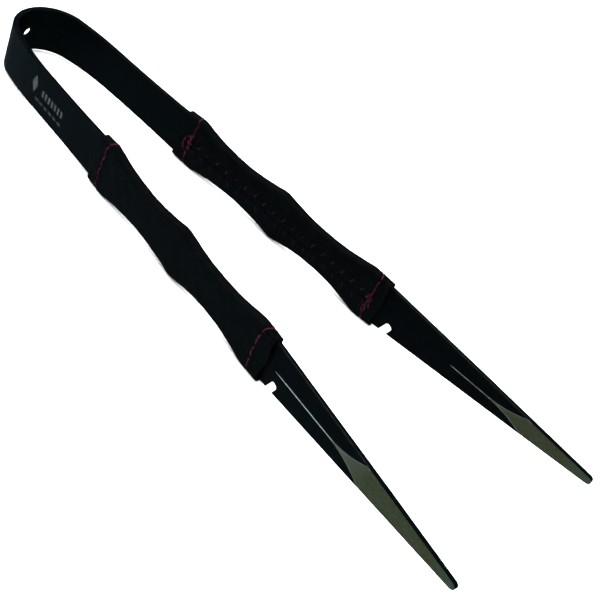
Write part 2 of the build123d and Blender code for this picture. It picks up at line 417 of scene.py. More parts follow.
def half_section(x, flat, line_start):
    """The section at x on one side of its middle, from top to bottom, as (thickness, height) points."""
    start, full = flat
    top, bottom = float(strip_half_height(x, 1)), float(strip_half_height(x, -1))
    corner = min(EDGE_ROUND, EDGE_SHARE * min(top, bottom))
    slope = RIDGE_SLOPE * min(1.0, max(0.0, (x - RIDGE_START) / RIDGE_RUN_IN))
    narrow = LINE_HALF_WIDTH * min(1.0, LINE_END_SHARE + abs(x - line_start) / LINE_RUN_IN)
    full_height = float(strip_half_height(full, 1))
    opening = np.clip((x - start + FLAT_LEAD) / (full - start + FLAT_LEAD), 0, 1) ** FLAT_OPENING
    bare = float(narrow + (full_height - narrow) * opening)
    level = HALF_STRIP - slope * max(narrow, min(bare, full_height))
    steepness = FLAT_BREAK if x > full else slope
    points = []
    for side, edge in ((1, top - corner), (-1, bottom - corner)):
        crest = min(bare, edge - FLAT_MARGIN * min(1.0, edge))
        foot = narrow if x < start else crest
        heights = [edge + (crest - edge) * k / BEVEL_STEPS for k in range(BEVEL_STEPS + 1)]
        bevel = [(level - max(steepness * (z - foot), 0.0), side * z) for z in heights]
        rim = (level, side * (crest - min(RIM_WIDTH, RIM_SHARE * crest)))
        rounded = []
        for angle in CORNER_ANGLES:
            out, up = corner * math.cos(math.radians(angle)), corner * math.sin(math.radians(angle))
            rounded.append((bevel[0][0] - corner + out, side * (edge + up)))
        points += [*rounded, *bevel, rim][::side]
    return points


def strip_section(x):
    """The strip's section at x, as a loop of (across, up) points from its top, down the outer face."""
    outer = half_section(x, OUTER_FLAT, OUTER_LINE_START)
    inner = half_section(x, INNER_FLAT, INNER_LINE_START)
    return outer + [(-thickness, z) for thickness, z in reversed(inner)]


def strip_material(kind, x, printed):
    """Which material shows near x on one side of the section, by what that side is."""
    face, part = kind.split()
    (start, full), line_start = (OUTER_FLAT, OUTER_LINE_START)
    if face == "inner":
        (start, full), line_start = (INNER_FLAT, INNER_LINE_START)
    if part == "edge":
        return COAT if face == "flat" or x > full else EDGE
    if printed and face == "outer" and PRINT_ZONE[0] < x < PRINT_ZONE[1]:
        return PRINT
    if part == "bevel":
        return GROUND if x > full else COAT
    if x < line_start:
        return COAT
    return LINE if x < start + LINE_OVERLAP or (part == "rim" and x < full + RIM_OVERLAP) else GROUND


def strip_mesh(stations, printed=False):
    """Points, faces, materials and UVs of the strip lofted through stations given as (distance, x)."""
    points, uv = [], []
    for s, x in stations:
        across, up = np.array(strip_section(x)).T
        points.append(along_strip(s, across, up))
        uv.append(np.stack([np.full(len(up), s / CM), up / CM], axis=1))
    middles = [(a[1] + b[1]) / 2 for a, b in zip(stations, stations[1:])]
    looks = [strip_material(kind, x, printed) for x in middles for kind in SECTION_KINDS]
    faces = tube_faces(len(stations), len(SECTION_KINDS))
    return np.concatenate(points), faces, looks + [COAT, COAT], np.concatenate(uv)


def evenly(start, end, step):
    """Numbers from start to end, about step apart."""
    return list(np.linspace(start, end, max(2, round(abs(end - start) / step) + 1)))


def arm_stations():
    """Places along an arm from the crown's end to the tip, closer together where the shape changes."""
    first = np.interp(CROWN_END_S, PLAN_S, PLAN_X)
    stretches = (
        (first + 1, GRIP_BEND, 1.5),
        (GRIP_BEND + 2, RIDGE_START, 2.0),
        (RIDGE_START + 0.5, OUTER_LINE_START, 1.0),
        (OUTER_LINE_START + 0.6, INNER_LINE_START, 1.2),
        (INNER_LINE_START + 0.5, OUTER_FLAT[0], 0.75),
        (OUTER_FLAT[0] + 0.6, OUTER_FLAT[1], 0.8),
        (OUTER_FLAT[1] + 0.05, INNER_FLAT[1], 1.0),
        (INNER_FLAT[1] + 0.05, TIP_CENTRE, 1.5),
    )
    places = [first, first + 0.05]
    for stretch in stretches:
        places += evenly(*stretch)
    places += [TIP_CENTRE + TIP_HALF_HEIGHT * math.sin(math.radians(a)) for a in TIP_ANGLES]
    return [(distance_at(x), x) for x in places]


def crown_stations():
    """Places round the crown, from the end of its arc on the right arm to that on the left arm."""
    half = [0.0] + evenly(0.65, CROWN_END_S - 0.7, 0.65) + [CROWN_END_S - 0.05, CROWN_END_S]
    both = [-s for s in half[:0:-1]] + half
    return [(s, np.interp(abs(s), PLAN_S, PLAN_X)) for s in both]


def notch_cutter(side):
    """The leaning slot, drawn upwards from its mouth and then turned towards the tip."""
    half = NOTCH_WIDTH / 2
    flat = half - NOTCH_CORNER
    outline = [(-half, -NOTCH_MOUTH), (half, -NOTCH_MOUTH)]
    for centre, start in ((flat, 0), (-flat, 90)):
        for angle in range(start, start + 91, 15):
            a = math.radians(angle)
            depth = NOTCH_DEPTH - NOTCH_CORNER * (1 - math.sin(a))
            outline.append((centre + NOTCH_CORNER * math.cos(a), depth))
    sin, cos = math.sin(math.radians(NOTCH_LEAN)), math.cos(math.radians(NOTCH_LEAN))
    mouth_z = -float(strip_half_height(NOTCH_PLACE, -1))
    turned = [(NOTCH_PLACE + u * cos + v * sin, mouth_z - u * sin + v * cos) for u, v in outline]
    y = side * np.interp(NOTCH_PLACE, PLAN_X, PLAN_Y)
    points = [(x, y + reach, z) for reach in (-NOTCH_REACH, NOTCH_REACH) for x, z in turned]
    return make_cutter("notch_cutter", points, 2)


def hole_cutter():
    """A turned shape along X that opens the hole through the crown and breaks both its edges."""
    front = 2 * HALF_STRIP
    wide = HOLE_RADIUS + HOLE_CHAMFER
    profile = [
        (-HOLE_REACH, wide), (0.0, wide), (HOLE_CHAMFER + 0.15, HOLE_RADIUS),
        (front - HOLE_CHAMFER, HOLE_RADIUS), (front + 0.15, wide), (front + HOLE_REACH, wide),
    ]
    turns = [2 * math.pi * k / HOLE_SIDES for k in range(HOLE_SIDES)]
    points = [(x, r * math.cos(a), HOLE_HEIGHT + r * math.sin(a)) for x, r in profile for a in turns]
    return make_cutter("hole_cutter", points, len(profile))


def make_crown(materials):
    """The bent crown with its hanging hole."""
    points, faces, looks, uv = strip_mesh(crown_stations())
    crown = new_piece("crown_strip", points, faces, materials, looks, uv)
    cut_away(crown, hole_cutter())
    mark_sharp(crown)
    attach(crown, "bow")
    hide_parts("steel_bow")


def make_arm_strip(name, side, materials):
    """One arm's strip from the crown to the tip. The ends of the joint beside the crown are worked out but
    not used.
    """
    points, faces, looks, uv = strip_mesh(arm_stations(), printed=side < 0)
    strip = new_piece(f"{name}_arm_strip", points, faces, materials, looks, uv, side)
    cut_away(strip, notch_cutter(side))
    mark_sharp(strip)
    start, end = to_row(along_arm([FLEX_START, FLEX_END], 0, 0) * [1, side, 1])
    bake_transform(strip)
    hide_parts(f"{name}_arm_steel")
    return strip


# Leather


def face_height(x):
    """The height of the sleeve's faces at x, between their rounded edges."""
    return scalloped(SLEEVE_TOP, x) + scalloped(SLEEVE_BOTTOM, x) - 2 * SLEEVE_ROUND


def girth(x):
    """The distance all the way round the sleeve at x."""
    return 2 * (2 * HALF_TOP + 2 * ARC + face_height(x))


def sleeve_profile(x, w, inset=0.0):
    """(across, up, outward direction) of the sleeve's surface at x and w, moved in by inset."""
    x, w = np.broadcast_arrays(x, w)
    rounding = max(SLEEVE_ROUND - inset, INNER_ROUND)
    height, half = face_height(x), girth(x) / 2
    w = np.where(w > half, w - 2 * half, w)
    side, d = np.where(w < 0, -1.0, 1.0), abs(w)
    on_top = np.minimum(d, HALF_TOP)
    top_turn = np.clip(d - HALF_TOP, 0, ARC) / ARC * math.pi / 2
    share = np.clip(d - HALF_TOP - ARC, 0, height) / height
    low_turn = np.clip(d - HALF_TOP - ARC - height, 0, ARC) / ARC * math.pi / 2
    back = np.clip(d - HALF_TOP - 2 * ARC - height, 0, HALF_TOP)
    turn = top_turn + low_turn
    high = scalloped(SLEEVE_TOP, x) - inset - rounding
    low = scalloped(SLEEVE_BOTTOM, x) - inset - rounding
    across = (SLEEVE_FACE - inset - rounding) / HALF_TOP * (on_top - back) + rounding * np.sin(turn)
    if inset == 0:
        across = across + FACE_BULGE * (1 - (2 * share - 1) ** 2)
    up = high * (1 - share) - low * share + rounding * np.cos(turn)
    return side * across, up, np.stack([side * np.sin(turn), np.cos(turn)], axis=-1)


def around(x, z, side):
    """w at height z on the outer face for side +1, or on the inner face for side -1."""
    high = scalloped(SLEEVE_TOP, x) - SLEEVE_ROUND
    low = SLEEVE_ROUND - scalloped(SLEEVE_BOTTOM, x)
    up = HALF_TOP + SLEEVE_ROUND * np.arccos(np.clip((z - high) / SLEEVE_ROUND, -1, 1))
    face = HALF_TOP + ARC + high - z
    down = HALF_TOP + ARC + high - low + SLEEVE_ROUND * np.arcsin(np.clip((low - z) / SLEEVE_ROUND, -1, 1))
    return side * np.where(z > high, up, np.where(z < low, down, face))


# Holes that the wrapping thread passes through, as (place, height), down each face from the top edge.
# On the inner face a knot parts them.
UPPER_OUTER_HOLES = [(84.0, 10.2), (83.8, 4.9), (83.4, 0.0), (83.4, -5.9), (83.7, -10.2)]
UPPER_ABOVE_KNOT = [(85.5, 9.6), (85.0, 4.2)]
UPPER_BELOW_KNOT = [(84.2, -4.0), (84.1, -8.5), (84.3, -10.4)]
LOWER_OUTER_HOLES = [(181.3, 7.8), (181.0, 1.6), (181.2, -4.4), (181.7, -9.7)]
LOWER_ABOVE_KNOT = [(183.5, 9.8), (183.0, 8.6), (183.0, 3.6)]
LOWER_BELOW_KNOT = [(182.3, -6.5), (182.8, -8.6), (183.1, -10.0)]


def holes_at(points, side):
    """(x, w) holes, from (x, height) points on the outer face for side +1 or the inner for side -1."""
    return [(x, float(around(x, z, side))) for x, z in points]


def wrap_path(outer, above_knot, below_knot):
    """The stitches of one wrap as pairs of (x, w) holes: down both faces and over both edges."""
    front, above, below = holes_at(outer, 1), holes_at(above_knot, -1), holes_at(below_knot, -1)
    (x, w), (far_x, far_w) = front[-1], below[-1]
    under = ((x, w), (far_x, far_w + float(girth((x + far_x) / 2))))
    down_front = list(zip(front, front[1:]))
    down_back = list(zip(above, above[1:])) + list(zip(below, below[1:]))
    return down_front + [(above[0], front[0])] + down_back + [under]


def lacing_row(line, count):
    """The same short line repeated along the seam, each time as a list of (x, height) points."""
    starts = [LACING_START + i * LACING_PITCH for i in range(count)]
    return [[(start + along, height) for along, height in line] for start in starts]


def lacing_path():
    """The lacing's dashes beside the seam as pairs of (x, w) holes, the seam's end of each first."""
    upper = lacing_row(UPPER_DASH, LACING_STITCHES)
    lower = lacing_row(LOWER_DASH, LACING_STITCHES + 1)
    lower[0][1] = (lower[0][1][0], FIRST_LOWER_END)
    return [holes_at(dash, -1) for dash in upper + lower]


def lacing_pulls():
    """The dents between the two rows of the lacing, where the thread runs under the leather."""
    upper, lower = UPPER_DASH[0], LOWER_DASH[0]
    back = lacing_row((upper, lower), LACING_STITCHES)
    onward = lacing_row((upper, (lower[0] + LACING_PITCH, lower[1])), LACING_STITCHES)
    return [holes_at(pull, -1) for pulls in zip(back, onward) for pull in pulls]


def ragged_ends(z):
    """How far the sleeve's two ends wander from straight cuts, for points at height z."""
    start = 0.2 * np.sin(0.31 * z + 0.4) + 0.018 * z
    end = 0.45 * np.sin(0.42 * z + 1.1) + 0.03 * z
    return start, end


def distance_to(x, w, a, b):
    """Distances in the (x, w) plane from points to the line between two holes."""
    dx, dw = b[0] - a[0], b[1] - a[1]
    t = np.clip(((x - a[0]) * dx + (w - a[1]) * dw) / (dx * dx + dw * dw), 0, 1)
    return np.hypot(x - a[0] - t * dx, w - a[1] - t * dw)


# The leather's relief across some lines and round the holes, each a sum of bells given as
# (height, width, place): dents are negative, and the place is a distance from the line.
STITCH_DENT = [(-0.12, 0.42, 0.0), (0.05, 0.5, 1.0)]
HOLE_DENT = [(-0.08, 0.36, 0.0), (-0.06, 1.1, 0.0)]
PULL_DENT = [(-0.13, 0.4, 0.0), (0.06, 0.45, 0.9)]
TOP_EDGE_DENT = [(-0.1, 0.8, 0.0), (0.06, 0.8, -1.6)]
SEAM_DENT = [(-0.08, 0.45, 0.0), (0.05, 0.8, 1.3)]
FOLD = [(1.0, 0.55, 0.0), (-0.6, 0.6, 0.9)]
TOP_EDGE = HALF_TOP + ARC + 0.5

# The lacing gathers the leather beside the seam, by this height and out to about this distance.
GATHER_HEIGHT = 0.1
GATHER_REACH = 2.6

# Soft folds as (x, w, length, angle, height).
SLEEVE_FOLDS = [
    (186.0, -7.5, 1.6, 70, 0.16), (185.6, -10.5, 1.5, 35, 0.14), (184.9, -16.0, 2.0, 60, 0.18),
    (186.3, -14.2, 1.8, 110, 0.14), (80.8, -12.5, 1.6, 100, 0.12), (81.2, -8.0, 1.8, 75, 0.1),
    (185.8, 5.2, 2.4, 100, 0.14), (184.6, 15.0, 1.8, 70, 0.08), (81.0, 9.0, 2.0, 80, 0.08),
    (179.0, -15.5, 2.2, 20, 0.12), (87.8, -15.0, 2.2, 160, 0.1),
]


def bells(distance, profile):
    """The height at a distance from a line, for a relief given as bells."""
    return sum(height * np.exp(-(((distance - place) / width) ** 2)) for height, width, place in profile)


def leather_relief(x, w, stitches, pulls, seam_w, full):
    """How far the leather's surface stands out at each point: softness, stitches, edges and seam."""
    relief = 0.04 * np.sin(0.37 * x + 0.8) * np.cos(0.29 * w) + 0.02 * np.sin(0.83 * x - 0.61 * w)
    relief = relief + 0.02 * np.sin(1.9 * x + 1.3 * w + 0.5) * np.sin(1.1 * w - 0.7 * x)
    for a, b in stitches:
        relief = relief + bells(distance_to(x, w, a, b), STITCH_DENT)
        for hole_x, hole_w in (a, b):
            relief = relief + bells(np.hypot(x - hole_x, w - hole_w), HOLE_DENT)
    for a, b in pulls:
        relief = relief + bells(distance_to(x, w, a, b), PULL_DENT)
    lip = np.minimum(abs(w - seam_w), abs(w - seam_w - full))
    relief = relief + bells(abs(w) - TOP_EDGE, TOP_EDGE_DENT) + bells(lip, SEAM_DENT)
    phase = 2 * math.pi * (x - LACING_START) / LACING_PITCH
    gather = GATHER_HEIGHT * np.exp(-((lip / GATHER_REACH) ** 2))
    return relief + gather * (np.cos(phase) + 0.45 * np.cos(2 * phase + 1.0))


def folds(x, w):
    """How far the soft folds in the leather stand out at each point."""
    total = 0.0
    for fold_x, fold_w, length, angle, height in SLEEVE_FOLDS:
        cos, sin = math.cos(math.radians(angle)), math.sin(math.radians(angle))
        lengthwise = (x - fold_x) * cos + (w - fold_w) * sin
        beside = (w - fold_w) * cos - (x - fold_x) * sin
        total = total + height * bells(beside, FOLD) * np.exp(-((lengthwise / length) ** 2))
    return total


# The sleeve's grid: the rows as shares of its length, close together at its ends, and the numbers
# of columns between the corners of its section.
ROWS = [0, 0.0008, 0.0018, 0.003, *np.linspace(0.0045, 0.9955, 290), 0.997, 0.9982, 0.9992, 1]
COLUMNS = (26, 7, 3, 7, 46, 7, 3, 7, 24)

# Its far end is rounded off, and its start thins gently. A ragged end fades with this power.
RIM_ROUND = 0.45
START_REACH = 1.6
START_DROP = 0.12
RAGGED_FADE = 6
LINING_GAP = 0.05


def sleeve_columns(x):
    """w at each column of the sleeve's grid at x, from the seam's upper lip round to its lower lip."""
    face, full = float(face_height(x)), float(girth(x))
    seam, half = float(around(x, SEAM_Z, -1)), full / 2
    corners = [
        seam + SEAM_GAP / 2, -HALF_TOP - ARC, -HALF_TOP, HALF_TOP, HALF_TOP + ARC, HALF_TOP + ARC + face,
        half - HALF_TOP, half + HALF_TOP, half + HALF_TOP + ARC, full + seam - SEAM_GAP / 2,
    ]
    columns = [corners[0]]
    for start, end, count in zip(corners, corners[1:], COLUMNS):
        columns += list(np.linspace(start, end, count + 1)[1:])
    return np.array(columns), seam, full


def sleeve_row(share, stitches, pulls):
    """The outer points, inner points and UVs of one row, at a share of the sleeve's length."""
    length = SLEEVE_END - SLEEVE_START
    base = SLEEVE_START + share * length
    columns, seam, full = sleeve_columns(base)
    across, up, out = sleeve_profile(base, columns)
    early, late = ragged_ends(up)
    x = base + early * (1 - share) ** RAGGED_FADE + late * share**RAGGED_FADE
    relief = leather_relief(x, columns, stitches, pulls, seam, full) + folds(x, columns)
    to_end = min(share, 1 - share) * length
    reach, drop = (START_REACH, START_DROP) if share < 0.5 else (RIM_ROUND, RIM_ROUND)
    if to_end < reach:
        inwards = 1 - to_end / reach
        relief = relief * (1 - inwards) - drop * (1 - math.sqrt(1 - inwards**2))
    outer = along_arm(x, across + relief * out[:, 0], up + relief * out[:, 1])
    deep_across, deep_up, _ = sleeve_profile(base, columns, LEATHER - LINING_GAP)
    return outer, along_arm(x, deep_across, deep_up), np.stack([x / CM, columns / CM], axis=1)


def sleeve_faces(rows, size):
    """The faces of the outer grid, of the inner grid after it, and between them along the borders."""
    count = rows * size
    faces = strip_faces(rows, size)
    faces += [tuple(count + i for i in reversed(face)) for face in faces]
    border = []
    for start in range(0, count - size, size):
        border += [(start, start + size), (start + 2 * size - 1, start + size - 1)]
    for j in range(size - 1):
        border += [(j + 1, j), (count - size + j, count - size + j + 1)]
    return faces + [(a, b, count + b, count + a) for a, b in border]


def make_sleeve(name, side, material, stitches, pulls):
    """The leather wrapped round one grip, with its cut edges meeting at the laced seam."""
    rows = [sleeve_row(share, stitches, pulls) for share in ROWS]
    outer, inner, uv = zip(*rows)
    points, uv = np.concatenate(outer + inner), np.concatenate(uv + uv)
    faces = sleeve_faces(len(rows), len(outer[0]))
    sleeve = new_piece(f"{name}_leather", points, faces, [material], None, uv, side)
    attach(sleeve, f"{name}_arm")
    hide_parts(f"{name}_leather_sleeve")
    return sleeve


# Thread

# A ply's radius, and how far it lies from the thread's middle, as shares of the thread's radius.
PLY_RADIUS = 0.55
PLY_OFFSET = 0.47

# The grip rests on its lower edge, so the stitches that pass under it are sunk in the leather.
UNDER_SHARE = 0.92
UNDER_RISE = -WRAP_RADIUS - 0.05
STITCH_DENSITY = 3.5

# The overhand knot is drawn but for this angle at both ends of its turn.
KNOT_END = 0.35


def smooth_path(points, count):
    """A smooth curve through the points, as count points."""
    p = np.asarray(points, float)
    p = np.concatenate([[2 * p[0] - p[1]], p, [2 * p[-1] - p[-2]]])
    t = np.linspace(0, len(p) - 3, count)
    i = np.minimum(t.astype(int), len(p) - 4)
    f = (t - i)[:, None]
    a, b, c, d = p[i], p[i + 1], p[i + 2], p[i + 3]
    return b + 0.5 * f * (c - a + f * (2 * a - 5 * b + 4 * c - d + f * (3 * (b - c) + d - a)))


def on_sleeve(x, w, height):
    """Points in the drawing frame at (x, w) on the left sleeve, raised by height."""
    across, up, out = sleeve_profile(x, w)
    return along_arm(x, across + height * out[..., 0], up + height * out[..., 1])


def stitch_points(a, b, rise, gap):
    """A stitch's middle line between two holes: up out of the leather, across it, and down again."""
    length = math.hypot(b[0] - a[0], b[1] - a[1])
    t = np.linspace(0, 1, max(12, int(length * STITCH_DENSITY)))
    if abs(a[1] + b[1]) > UNDER_SHARE * girth(a[0]):
        rise = UNDER_RISE
    height = rise - (rise + STITCH_SINK) * abs(2 * t - 1) ** 4
    share = gap / length + (1 - 2 * gap / length) * t
    return on_sleeve(a[0] + (b[0] - a[0]) * share, a[1] + (b[1] - a[1]) * share, height)


def stitch_paths(stitches, rise, gap):
    """The middle lines of several stitches."""
    return [stitch_points(a, b, rise, gap) for a, b in stitches]


def moving_frames(path):
    """Two directions across a path at each of its points, carried along without twisting."""
    tangents = np.gradient(path, axis=0)
    tangents /= np.linalg.norm(tangents, axis=1)[:, None]
    start = np.array([0.0, 0.0, 1.0]) if abs(tangents[0][2]) < 0.8 else np.array([1.0, 0.0, 0.0])
    first = [np.cross(tangents[0], start)]
    for tangent in tangents[1:]:
        first.append(first[-1] - tangent * (first[-1] @ tangent))
    first = np.array(first)
    first /= np.linalg.norm(first, axis=1)[:, None]
    return first, np.cross(tangents, first)


def turned(angles, u, v):
    """Directions at angles round a path, from its two directions across."""
    return np.cos(angles)[:, None] * u + np.sin(angles)[:, None] * v


def thread_plies(path, radius):
    """The points of each ply of a thread along a path. The plies are twisted round each other."""
    u, v = moving_frames(path)
    s = np.concatenate([[0], np.cumsum(np.linalg.norm(np.diff(path, axis=0), axis=1))])
    corners = 2 * math.pi * np.arange(PLY_SIDES) / PLY_SIDES
    ring = PLY_RADIUS * radius * turned(corners, u[:, None], v[:, None])
    turns = [2 * math.pi * (s / PLY_TURN + ply / PLIES) for ply in range(PLIES)]
    centres = [path + PLY_OFFSET * radius * turned(turn, u, v) for turn in turns]
    return [(centre[:, None] + ring).reshape(-1, 3) for centre in centres]


def thread_piece(name, arm, side, paths, radius, material, cad_node):
    """One piece made of several lengths of thread."""
    plies = [ply for path in paths for ply in thread_plies(path, radius)]
    faces, first = [], 0
    for ply in plies:
        tube = tube_faces(len(ply) // PLY_SIDES, PLY_SIDES)
        faces += [tuple(first + i for i in reversed(face)) for face in tube]
        first += len(ply)
    points = np.concatenate(plies)
    piece = new_piece(name, points, faces, [material], None, points[:, [0, 2]] / CM, side)
    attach(piece, f"{arm}_arm")
    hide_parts(cad_node)
    return piece


def loose_thread(points, count=60):
    """A path from given (x, height on the inner face, height above the leather) points."""
    x, z, height = smooth_path(points, count).T
    return on_sleeve(x, around(x, z, -1), height)


def overhand(x, z, size, lift):
    """A small overhand knot on the inner face, whose ends leave it towards the top and the bottom."""
    t = np.linspace(KNOT_END, 2 * math.pi - KNOT_END, 90)
    beside = (np.sin(t) + 2 * np.sin(2 * t)) * size / 3
    down = (np.cos(t) - 2 * np.cos(2 * t)) * size / 3
    raised = lift - np.sin(3 * t) * KNOT_RADIUS * 1.1
    return on_sleeve(x + beside, around(x + beside, z - down, -1), raised)


def upper_knot():
    """The tied end beside the upper wrap: two doubled strands, a hitch round them, and a loop."""
    strand = [(85.3, 4.3, -0.5), (85.3, 3.4, 0.35), (84.8, 0.5, 0.5), (85.2, -2.4, 0.35), (84.9, -3.6, -0.5)]
    other = [(84.5, 4.2, -0.5), (84.4, 3.2, 0.4), (85.2, 0.6, 0.55), (84.4, -2.4, 0.4), (84.3, -3.9, -0.5)]
    hitch = [(84.0, 1.7, -0.2), (84.2, 1.3, 0.8), (84.9, 0.7, 1.25), (85.7, 0.4, 0.8), (85.8, 0.2, -0.2)]
    loop = [
        (84.9, 3.0, 0.3), (83.6, 2.9, 0.5), (82.4, 1.9, 0.35), (81.8, -0.8, 0.3), (82.2, -3.4, 0.35),
        (83.1, -4.5, 0.35), (83.7, -4.9, -0.5),
    ]
    return [loose_thread(points) for points in (strand, other, hitch, loop)]


def lower_knot():
    """The tied end beside the lower wrap: an overhand knot with a tail, and a small loop below it."""
    lead = [(183.0, 3.8, -0.5), (183.0, 3.2, 0.3), (182.8, 2.2, 0.6)]
    tail = [(183.2, 0.2, 0.6), (183.7, -1.4, 0.35), (184.0, -2.9, 0.25), (184.0, -3.5, -0.5)]
    loop = [
        (182.9, 0.2, 0.5), (182.6, -2.2, 0.4), (182.0, -3.9, 0.35), (181.8, -5.3, 0.35), (182.3, -6.5, 0.4),
        (182.9, -6.0, 0.4), (183.1, -4.8, 0.4), (182.8, -3.5, 0.45), (182.1, -3.0, -0.4),
    ]
    knot = overhand(182.8, 1.2, 1.3, 0.75)
    return [knot, loose_thread(lead, 24), loose_thread(tail, 30), loose_thread(loop)]


def make_threads(name, side, upper, lower, lacing, bright, shaded):
    """The wraps, the lacing and the knots of one grip, from its stitches and two thread materials, one with
    painted shade.
    """
    upper_wrap = stitch_paths(upper, WRAP_RISE, UPPER_STITCH_GAP)
    lower_wrap = stitch_paths(lower, WRAP_RISE, LOWER_STITCH_GAP)
    pieces = (
        ("upper_wrap", "upper_wrap_stitches", upper_wrap, WRAP_RADIUS, bright),
        ("lower_wrap", "lower_wrap_stitches", lower_wrap, WRAP_RADIUS, bright),
        ("lacing", "seam_lacing", stitch_paths(lacing, 0.0, 0.0), LACING_RADIUS, shaded),
        ("upper_knot", "upper_seam_knot", upper_knot(), KNOT_RADIUS, bright),
        ("lower_knot", "lower_seam_knot", lower_knot(), KNOT_RADIUS, bright),
    )
    return [
        thread_piece(f"{name}_{part}", name, side, paths, radius, material, f"{name}_{cad}")
        for part, cad, paths, radius, material in pieces
    ]


# Materials

COAT_DARK, COAT_LIGHT = (0.0001, 0.0004, 0.0006), (0.0004, 0.0008, 0.0010)
# The strip's corners: worn coating with painted highlight, lighter in patches.
WORN_HIGHLIT_DARK, WORN_HIGHLIT_LIGHT = (0.001, 0.0013, 0.0013), (0.0115, 0.014, 0.0138)
INK_DARK, INK_LIGHT = (0.021, 0.026, 0.024), (0.046, 0.054, 0.051)
GROUND_DARK, GROUND_LIGHT = (0.43, 0.42, 0.215), (0.60, 0.57, 0.30)
# Painted highlight on the ground flats, where they start and near the tip.
GROUND_START_HIGHLIGHT, GROUND_TIP_HIGHLIGHT = (0.84, 0.86, 0.66), (0.54, 0.61, 0.40)
# The bare line and the rims: bare steel made pale by painted highlight.
LINE_DARK, LINE_LIGHT, RIM_COLOUR_AND_HIGHLIGHT = (0.58, 0.68, 0.64), (0.82, 0.96, 0.92), (0.90, 0.90, 0.68)
LEATHER_DARK, LEATHER_LIGHT = (0.0004, 0.0005, 0.0006), (0.0007, 0.0009, 0.001)
# Thread: the lighter ends of these ramps are patches of painted highlight.
RED_DARK, RED_LIGHT = (0.010, 0.0004, 0.0025), (0.052, 0.006, 0.019)
# The lacing's thread: the same red with painted shade, and deeper painted shade below the seam.
SHADED_RED_DARK, SHADED_RED_LIGHT = (0.006, 0.0008, 0.0028), (0.026, 0.007, 0.0135)
SHADED_RED_BELOW = (0.0085, 0.0028, 0.0058)

# Specular level of the coating, the leather and the thread.
DULL = 0.25

# The ornament: a lozenge as (x, height, half-length, half-height), and two rows of marks as
# (first x, last x, height, half-height, pitch, inked share of the pitch).
LOZENGE = (34.2, 1.2, 1.9, 4.2)
TICKS = (39.6, 55.0, 0.4, 1.5, 2.2, 0.55)
DASHES = (36.0, 55.0, -4.3, 0.6, 3.2, 0.7)
DASH_INK = 0.6

PLAIN = (1.0, 1.0)


def rgba(colour):
    """Three numbers, or one grey level, as the four numbers of a colour. An output stays as it is."""
    if isinstance(colour, (int, float)):
        return (colour, colour, colour, 1.0)
    return (*colour, 1.0) if isinstance(colour, tuple) else colour


def set_inputs(target, inputs):
    """Gives a node's inputs their values, or links them to the outputs given for them."""
    for key, value in inputs.items():
        if isinstance(value, bpy.types.NodeSocket):
            target.id_data.links.new(value, target.inputs[key])
        else:
            target.inputs[key].default_value = value


def node(tree, kind, inputs=None, **settings):
    """A new node with its settings and its inputs."""
    made = tree.nodes.new(kind)
    for key, value in settings.items():
        setattr(made, key, value)
    set_inputs(made, inputs or {})
    return made


def new_material(name):
    """A material with its node tree, and its Principled shader."""
    material = bpy.data.materials.new(name)
    material.use_nodes = True
    return material, material.node_tree, material.node_tree.nodes["Principled BSDF"]


def stretched_uv(tree, stretch):
    """UV coordinates, in centimetres, times a scale along and across."""
    uv = node(tree, "ShaderNodeTexCoord").outputs["UV"]
    return node(tree, "ShaderNodeMapping", {"Vector": uv, "Scale": (*stretch, 1.0)}).outputs["Vector"]


def parts_of(tree, vector=None):
    """The X, Y and Z of a vector, or else of the UV coordinates, as outputs."""
    vector = vector or stretched_uv(tree, PLAIN)
    return node(tree, "ShaderNodeSeparateXYZ", {"Vector": vector}).outputs


def noise(tree, stretch, scale, detail=4.0, roughness=0.6):
    """Noise over the UV coordinates, stretched by a scale along and across."""
    inputs = {"Vector": stretched_uv(tree, stretch), "Scale": scale, "Detail": detail, "Roughness": roughness}
    return node(tree, "ShaderNodeTexNoise", inputs).outputs["Fac"]


def ramp(tree, value, low, high, start=0.35, end=0.65):
    """A value from start to end, turned into a colour or grey from low to high."""
    made = node(tree, "ShaderNodeValToRGB", {"Fac": value})
    for element, place, colour in zip(made.color_ramp.elements, (start, end), (low, high)):
        element.position = place
        element.color = rgba(colour)
    return made.outputs["Color"]


def mixed(tree, factor, low, high, blend="MIX"):
    """Two colours or outputs mixed by a factor, which may be a number or an output."""
    inputs = {"Factor": factor, "A": rgba(low), "B": rgba(high)}
    return node(tree, "ShaderNodeMix", inputs, data_type="RGBA", blend_type=blend).outputs["Result"]


def maths(tree, operation, *values):
    """A math node's output, from numbers and outputs."""
    return node(tree, "ShaderNodeMath", dict(enumerate(values)), operation=operation).outputs["Value"]


def ranged(tree, value, start, end, low, high):
    """A value that goes from low to high as another one goes from start to end."""
    inputs = {"Value": value, "From Min": start, "From Max": end, "To Min": low, "To Max": high}
    return node(tree, "ShaderNodeMapRange", inputs).outputs["Result"]


def along(tree, start, end, low, high):
    """A value that goes from low to high between two places on the blade, by their x."""
    u = parts_of(tree)["X"]
    return ranged(tree, u, distance_at(start) / CM, distance_at(end) / CM, low, high)


def bump(tree, shader, height, strength, distance, below=None):
    """Adds a bump to the shader, over another bump's normal if one is given."""
    inputs = {"Height": height, "Strength": strength, "Distance": distance}
    if below is not None:
        inputs["Normal"] = below
    normal = node(tree, "ShaderNodeBump", inputs).outputs["Normal"]
    set_inputs(shader, {"Normal": normal})
    return normal


def coated_steel(name="coated_steel"):
    """Matt black coating: faintly uneven, with fine lengthwise rubs."""
    material, tree, shader = new_material(name)
    colour = ramp(tree, noise(tree, (1.0, 1.6), 2.2), COAT_DARK, COAT_LIGHT)
    rubs = ramp(tree, noise(tree, (0.6, 22.0), 3.0, 6.0), 0.34, 0.5, 0.3, 0.7)
    set_inputs(shader, {"Base Color": colour, "Roughness": rubs, "Specular IOR Level": DULL})
    bump(tree, shader, noise(tree, PLAIN, 95.0, 3.0), 0.12, 0.00005)
    return material, tree, shader, colour


